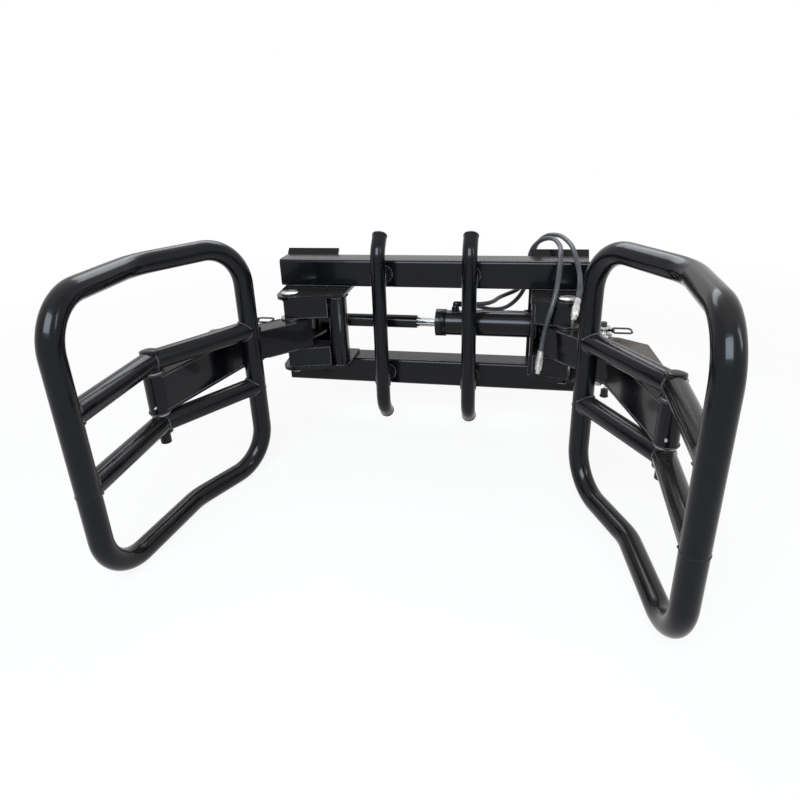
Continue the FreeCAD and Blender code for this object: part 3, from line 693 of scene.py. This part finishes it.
# Lock pins and lynch pins
# A plated drop pin fixes each carrier at one of the beam's holes; a sprung wire bail
# on the lynch pin keeps it from working out. All but the right drop pin are dark with oil.
def pin_zinc():
    finish = Finish("pin_zinc", IOR=1.5)
    dull, bright, knob = (0.34, 0.34, 0.32, 1), (0.62, 0.62, 0.59, 1), (0.020, 0.020, 0.022, 1)
    height = finish.add("ShaderNodeSeparateXYZ", {}, {0: finish.place()}, output=2)
    dark = finish.spread(height, KNOB_Z - 0.2 * MM, KNOB_Z + 0.4 * MM)
    cloud = finish.spread(finish.noise(60, 3), 0.3, 0.7)
    finish.shade("Base Color", finish.mix(dark, finish.mix(cloud, dull, bright), knob))
    finish.shade("Metallic", 1.0 - 0.9 * dark)
    finish.shade("Roughness", finish.spread(cloud, 0, 1, 0.24, 0.38))
    return finish.material


def oiled_steel():
    finish = Finish("oiled_steel", IOR=1.5, Metallic=1.0)
    wet, dry = (0.030, 0.030, 0.032, 1), (0.110, 0.105, 0.100, 1)
    film = finish.noise(80, 3)
    finish.shade("Base Color", finish.mix(film, wet, dry))
    finish.shade("Roughness", finish.spread(film, 0.3, 0.7, 0.25, 0.42))
    return finish.material


KNOB_Z = 100 * MM
OILED = oiled_steel()
PIN_FINISH = {"left": OILED, "right": pin_zinc()}
for side in SIDES:
    dress("lock_pin_" + side, PIN_FINISH[side])
    dress("lynch_pin_" + side, OILED)


# Hoops
# Bent round tube, butt-welded low on both legs, with two pairs of crossbars that meet
# in a mitre on the knee pin. Painted after welding, so the beads are black too.
for side in SIDES:
    for name in ("hoop_upper_bend_", "hoop_lower_bend_", "hoop_upper_crossbars_",
                 "hoop_lower_crossbars_"):
        dress(name + side, PAINT)
    dress("knee_washers_" + side, STEEL)

TUBE_R = 30.15
HOOP_WIDTH = 670
KNEE_FROM_LEG = 326
LEGS_INBOARD = 96
CROSSBAR_Z = 98
BUTT_Z = -108
HEADING = math.radians(14.3)
AHEAD = Vector((math.sin(HEADING), -math.cos(HEADING), 0))
OUTBOARD = Vector((math.cos(HEADING), math.sin(HEADING), 0))
UP = Vector((0, 0, 1))
INNER_LEG = KNEE - AHEAD * KNEE_FROM_LEG - OUTBOARD * LEGS_INBOARD
LEGS = (INNER_LEG, INNER_LEG + AHEAD * HOOP_WIDTH)


def crossbar_seams(z):
    """Saddles of two crossbars on the legs, and their joint at the knee pin."""
    seams = []
    aims = [(KNEE - leg).normalized() for leg in LEGS]
    inward = (aims[0] + aims[1]).normalized()
    for leg, aim in zip(LEGS, aims):
        wide = aim.cross(UP)
        away = -(aim - inward * aim.dot(inward)).normalized()
        upper, lower, joint = [], [], []
        for turn in turns(64):
            rim = wide * math.cos(turn) + UP * math.sin(turn)
            sunk = abs(math.sin(turn))
            if sunk > 0.3:
                saddle = upper if turn < math.pi else lower
                saddle.append(tuple(leg + UP * z + rim * (TUBE_R + 0.3) + aim * (TUBE_R * sunk + 0.8)))
            back = -TUBE_R * math.cos(turn) * wide.dot(away) / aim.dot(away)
            joint.append(tuple(KNEE + UP * z + aim * back + rim * (TUBE_R - 0.8)))
        seams += [upper, lower]
    return seams + [joint]


hoop_seams = crossbar_seams(CROSSBAR_Z) + crossbar_seams(-CROSSBAR_Z)
butt_seams = [circle(tuple(leg + UP * BUTT_Z), TUBE_R - 0.6, AHEAD, OUTBOARD) for leg in LEGS]
KNEE_PIN_FOOT = -164.15
KNEE_PIN = [(0, 15), (1, 16), (292.3, 16), (292.3, 21), (294, 21), (295.4, 18.5), (296.2, 12),
            (296.3, 6)]
for side, sign in SIDES.items():
    hoop = "hoop_" + side
    weld("hoop_welds_" + side, [mirrored(seam, sign) for seam in hoop_seams], hoop, 8)
    weld("butt_welds_" + side, [mirrored(seam, sign) for seam in butt_seams], hoop, 4, PAINT)
    lathe("knee_pin_turned_" + side, (sign * KNEE.x, KNEE.y, KNEE_PIN_FOOT), UP, KNEE_PIN, hoop, PAINT,
          replaced="knee_pin_" + side)


# Cylinder
# Painted barrel and gland with a hard-chromed rod, screwed into a painted bar that
# reaches the left crank.
def hard_chrome():
    finish = Finish("hard_chrome", IOR=1.5, Metallic=1.0)
    hazy, bright = (0.66, 0.67, 0.69, 1), (0.80, 0.81, 0.83, 1)
    haze = finish.noise(25, 3)
    finish.shade("Base Color", finish.mix(haze, hazy, bright))
    finish.shade("Roughness", finish.spread(haze, 0.3, 0.7, 0.07, 0.16))
    return finish.material


CHROME = hard_chrome()
for name in ("cylinder_barrel", "cylinder_gland", "cylinder_rod_bar", "port_fittings"):
    dress(name, PAINT)
BARREL_R = 46
BARREL_Y = -68
BARREL_END = 386
PORT_X = 97
PORT_R = 15
port_seam = []
for turn in turns(40):
    across = PORT_R * math.sin(turn)
    port_seam.append((PORT_X + PORT_R * math.cos(turn), BARREL_Y + across,
                      math.sqrt(BARREL_R ** 2 - across ** 2) + 0.5))
end_seam = circle((BARREL_END, BARREL_Y, 0), BARREL_R - 1, (0, 1, 0), (0, 0, 1))
weld("barrel_welds", [port_seam, end_seam], "barrel", 5)
dress("cylinder_rod", CHROME)
dress("cylinder_piston", STEEL)


# Dust cap
# A moulded cap for the hose couplers, which hangs on a short plated chain under the
# right carrier, beside the lock pin.
def oval_links():
    """Links of wire, each hung in the one above and turned a quarter from it."""
    chain = Pattern("oval_links", Across=2.2 * MM, Down=3.6 * MM, Wire=0.8 * MM)
    ring = chain.add("GeometryNodeCurvePrimitiveCircle", {}, {"Resolution": 14, "Radius": 1.0})
    oval = chain.add("ShaderNodeCombineXYZ", {}, {
        "X": chain.given["Across"], "Y": chain.given["Down"], "Z": 1.0})
    line = chain.add("GeometryNodeTransform", {}, {"Geometry": ring, "Scale": oval})
    wire = chain.add("GeometryNodeCurvePrimitiveCircle", {}, {
        "Resolution": 8, "Radius": chain.given["Wire"]})
    link = chain.add("GeometryNodeCurveToMesh", {}, {"Curve": line, "Profile Curve": wire})
    quarter = chain.calc("MULTIPLY", chain.calc("MODULO", chain.add("GeometryNodeInputIndex"), 2.0),
                         math.pi / 2)
    upright = chain.add("ShaderNodeCombineXYZ", {}, {"X": math.pi / 2, "Z": quarter})
    turn = chain.add("FunctionNodeEulerToRotation", {}, {0: upright})
    chain.close(chain.given["Path"], link, turn, (1, 1, 1))
    return chain


CAP = [(0, 3), (2, 5), (2, 10), (5, 11.5), (20, 11.5), (22, 10.5), (22, 13), (27, 13), (28, 11)]
CAP_HANG = Vector((602, -352, -63))
LINKS = 9
LINK_PITCH = 5.2
CAP_DROP = 47
hang = [CAP_HANG - UP * LINK_PITCH * i for i in range(LINKS)]
oval_links().lay("dust_cap_chain", [hang], "arm_right", "zinc", ZINC,
                 Across=2.2 * MM, Down=3.6 * MM, Wire=0.8 * MM)
lathe("dust_cap", CAP_HANG - UP * CAP_DROP, -UP, CAP, "arm_right", MOULDED)


# Floor, backdrop and lamps
# A pale studio: a white floor and backdrop that glow only where they are seen, and keep a
# light shadow, with large soft lamps in front, behind and to the right.
floor_z = cad_box[0][2] - 1 * MM
FLOOR_REACH = 14
WORLD_LIGHT = 0.15


def seen_directly(tree):
    """1 for camera, mirror and see-through rays, 0 for the rest."""
    ray = tree.nodes.new("ShaderNodeLightPath")
    total = ray.outputs["Is Camera Ray"]
    for kind in ("Is Glossy Ray", "Is Transmission Ray"):
        higher = tree.nodes.new("ShaderNodeMath")
        higher.operation = "MAXIMUM"
        tree.links.new(total, higher.inputs[0])
        tree.links.new(ray.outputs[kind], higher.inputs[1])
        total = higher.outputs[0]
    return total


def studio_white():
    finish = Finish("studio_white", Roughness=0.9)
    grey, white = (0.80, 0.80, 0.80, 1), (0.82, 0.82, 0.82, 1)
    finish.shade("Base Color", finish.mix(finish.noise(3, 2), grey, white))
    away = finish.add("ShaderNodeVectorMath", {"operation": "LENGTH"}, {0: finish.place()}, output=1)
    share = finish.spread(away, 1.6, 3.4, 0.90, 1.0) * Value(finish, seen_directly(finish.tree))
    glow = finish.add("ShaderNodeEmission", {}, {"Color": (1, 1, 1, 1)})
    lit = Value(finish, finish.shader.outputs[0])
    blend = finish.add("ShaderNodeMixShader", {}, {0: share, 1: lit, 2: glow})
    finish.feed(finish.tree.nodes["Material Output"].inputs[0], blend)
    return finish.material


floor_mesh = bpy.data.meshes.new("floor")
corners = [(x * FLOOR_REACH, y * FLOOR_REACH, floor_z) for x, y in ((-1, -1), (1, -1), (1, 1), (-1, 1))]
floor_mesh.from_pydata(corners, [], [(0, 1, 2, 3)])
floor_mesh.materials.append(studio_white())
floor = bpy.data.objects.new("floor", floor_mesh)
bpy.context.scene.collection.objects.link(floor)


def lamp(name, place, aim, width, height, watts, colour):
    data = bpy.data.lights.new(name, "AREA")
    data.shape = "RECTANGLE"
    data.size = width
    data.size_y = height
    data.energy = watts
    data.color = colour
    light = bpy.data.objects.new(name, data)
    bpy.context.scene.collection.objects.link(light)
    light.location = place
    light.rotation_euler = (Vector(aim) - Vector(place)).to_track_quat("-Z", "Y").to_euler()


lamp("sky_front", (-0.1, -3.3, 2.5), (0, -0.6, 0.1), 2.6, 1.7, 190, (0.78, 0.88, 1.0))
lamp("sky_back", (-0.5, 1.9, 2.7), (0, -0.5, 0.1), 2.8, 1.2, 65, (0.90, 0.94, 1.0))
lamp("window_right", (3.1, -1.6, 2.0), (0, -0.5, 0), 0.5, 1.4, 22, (0.90, 0.95, 1.0))

world = bpy.data.worlds.new("studio")
world.use_nodes = True
bpy.context.scene.world = world
back = world.node_tree.nodes["Background"]
strength = world.node_tree.nodes.new("ShaderNodeMapRange")
strength.inputs["To Min"].default_value = WORLD_LIGHT
strength.inputs["To Max"].default_value = 1.0
world.node_tree.links.new(seen_directly(world.node_tree), strength.inputs["Value"])
world.node_tree.links.new(strength.outputs[0], back.inputs["Strength"])
back.inputs["Color"].default_value = (1, 1, 1, 1)
bpy.context.scene.view_settings.view_transform = "Standard"
